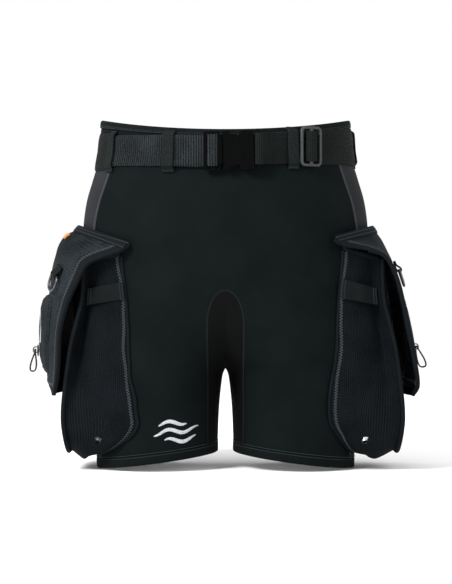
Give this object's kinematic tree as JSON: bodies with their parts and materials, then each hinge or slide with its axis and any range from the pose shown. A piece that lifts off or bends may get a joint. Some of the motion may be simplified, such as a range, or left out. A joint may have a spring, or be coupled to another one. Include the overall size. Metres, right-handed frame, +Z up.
{
  "type": "dive cargo shorts with webbing belt",
  "caption": "Neoprene dive shorts with a webbing waist belt, side-release buckle, tri-glide and bellows leg pockets with bound flaps, zips and hanging rings.",
  "frame": {"origin": "centre of the waist opening", "axes": "+X to the wearer's left, front faces -Y, +Z up"},
  "size_m": [0.4925, 0.262, 0.432],
  "materials": {
    "neoprene": "matt knitted face",
    "neoprene_side": "matt knitted face, charcoal",
    "binding": "matt binding tape",
    "webbing": "ribbed webbing",
    "webbing_fine": "fine-woven webbing",
    "plastic": "moulded, satin",
    "triglide_plastic": "moulded, satin, dark grey",
    "pocket_cloth": "ribbed stretch cloth",
    "flap_cloth": "coated cloth",
    "zip_tape": "woven tape with coil",
    "reflective": "reflective tape",
    "steel": "satin",
    "cord": "braided cord",
    "hook_and_loop": "hook and loop",
    "orange_tape": "woven tape"
  },
  "bodies": {
    "shorts": {"front_panel": "neoprene", "back_panel": "neoprene", "inner_thigh_gusset": "neoprene", "waistband": "neoprene", "hem_left": "neoprene", "hem_right": "neoprene", "side_panel_left": "neoprene_side", "side_panel_right": "neoprene_side", "waist_binding": "binding", "belt_webbing_front": "webbing", "belt_loop_front_left": "webbing", "belt_loop_front_right": "webbing", "belt_loop_side_left": "webbing", "belt_loop_side_right": "webbing", "belt_loop_back": "webbing", "belt_webbing_adjust": "webbing_fine", "belt_webbing_back": "webbing_fine", "buckle_body": "plastic", "pocket_gusset_left": "pocket_cloth", "pocket_panel_left": "pocket_cloth", "pocket_piping_left": "binding", "pocket_strap_left": "webbing_fine", "loop_patch_left": "hook_and_loop", "drain_grommet_left": "steel", "flap_yoke_left": "flap_cloth", "pocket_gusset_right": "pocket_cloth", "pocket_panel_right": "pocket_cloth", "pocket_piping_right": "binding", "pocket_strap_right": "webbing_fine", "loop_patch_right": "hook_and_loop", "drain_grommet_right": "steel", "flap_yoke_right": "flap_cloth"},
    "buckle_plug": {"buckle_plug": "plastic", "buckle_webbing": "webbing"},
    "prong_upper": {"prong_upper": "plastic"},
    "prong_lower": {"prong_lower": "plastic"},
    "triglide": {"triglide": "triglide_plastic", "triglide_webbing": "webbing_fine"},
    "flap_left": {"flap_panel_left": "flap_cloth", "flap_binding_left": "binding", "flap_pouch_left": "flap_cloth", "zip_tape_left": "zip_tape", "reflective_strip_left": "reflective", "hook_patch_left": "hook_and_loop", "ring_tab_left": "webbing_fine"},
    "zip_slider_left": {"zip_slider_left": "steel"},
    "zip_pull_left": {"zip_pull_left": "cord"},
    "ring_left": {"ring_left": "steel"},
    "flap_right": {"flap_panel_right": "flap_cloth", "flap_binding_right": "binding", "flap_pouch_right": "flap_cloth", "zip_tape_right": "zip_tape", "reflective_strip_right": "reflective", "hook_patch_right": "hook_and_loop", "ring_tab_right": "webbing_fine", "orange_tab": "orange_tape"},
    "zip_slider_right": {"zip_slider_right": "steel"},
    "zip_pull_right": {"zip_pull_right": "cord"},
    "ring_right": {"ring_right": "steel"}
  },
  "joints": [
    {"name": "left_flap_lift", "type": "hinge", "parent": "shorts", "child": "flap_left", "pos_m": [0.18898, 0, -0.12469], "axis": [0, -1, 0], "range_deg": [0, 110]},
    {"name": "right_flap_lift", "type": "hinge", "parent": "shorts", "child": "flap_right", "pos_m": [-0.18881, 0, -0.12561], "axis": [0, 1, 0], "range_deg": [0, 110]},
    {"name": "left_zip_slide", "type": "slide", "parent": "flap_left", "child": "zip_slider_left", "axis": [-0.1879, 0, 0.9822], "range_m": [0, 0.055]},
    {"name": "right_zip_slide", "type": "slide", "parent": "flap_right", "child": "zip_slider_right", "axis": [0.0344, 0, 0.9994], "range_m": [0, 0.055]},
    {"name": "left_zip_pull_swing", "type": "hinge", "parent": "zip_slider_left", "child": "zip_pull_left", "pos_m": [0.2453, 0, -0.27063], "axis": [0, -1, 0], "range_deg": [0, 150]},
    {"name": "right_zip_pull_swing", "type": "hinge", "parent": "zip_slider_right", "child": "zip_pull_right", "pos_m": [-0.23774, 0, -0.27391], "axis": [0, 1, 0], "range_deg": [0, 150]},
    {"name": "left_ring_swing", "type": "hinge", "parent": "flap_left", "child": "ring_left", "pos_m": [0.213, -0.05749, -0.17326], "axis": [-0.1011, -0.9949, 0.0014], "range_deg": [0, 120]},
    {"name": "right_ring_swing", "type": "hinge", "parent": "flap_right", "child": "ring_right", "pos_m": [-0.20817, -0.05979, -0.18093], "axis": [-0.3711, 0.8755, 0.3096], "range_deg": [0, 120]},
    {"name": "buckle_plug_draw", "type": "hinge", "parent": "shorts", "child": "buckle_plug", "pos_m": [0, 0.105, -0.0335], "axis": [0.0262, 0, -0.9997], "range_deg": [0, 4], "deforming": ["prong_upper", "prong_lower"]},
    {"name": "prong_upper_squeeze", "type": "hinge", "parent": "buckle_plug", "child": "prong_upper", "pos_m": [-0.00332, -0.1195, -0.02121], "axis": [0, 1, 0], "range_deg": [0, 8], "stiffness_Nm_per_rad": 0.1},
    {"name": "prong_lower_squeeze", "type": "hinge", "parent": "buckle_plug", "child": "prong_lower", "pos_m": [-0.00267, -0.1195, -0.04621], "axis": [0, -1, 0], "range_deg": [0, 8], "stiffness_Nm_per_rad": 0.1},
    {"name": "triglide_slide", "type": "hinge", "parent": "shorts", "child": "triglide", "pos_m": [0.02516, 0.04173, -0.02682], "axis": [0, 0, 1], "range_deg": [0, 8]}
  ]
}
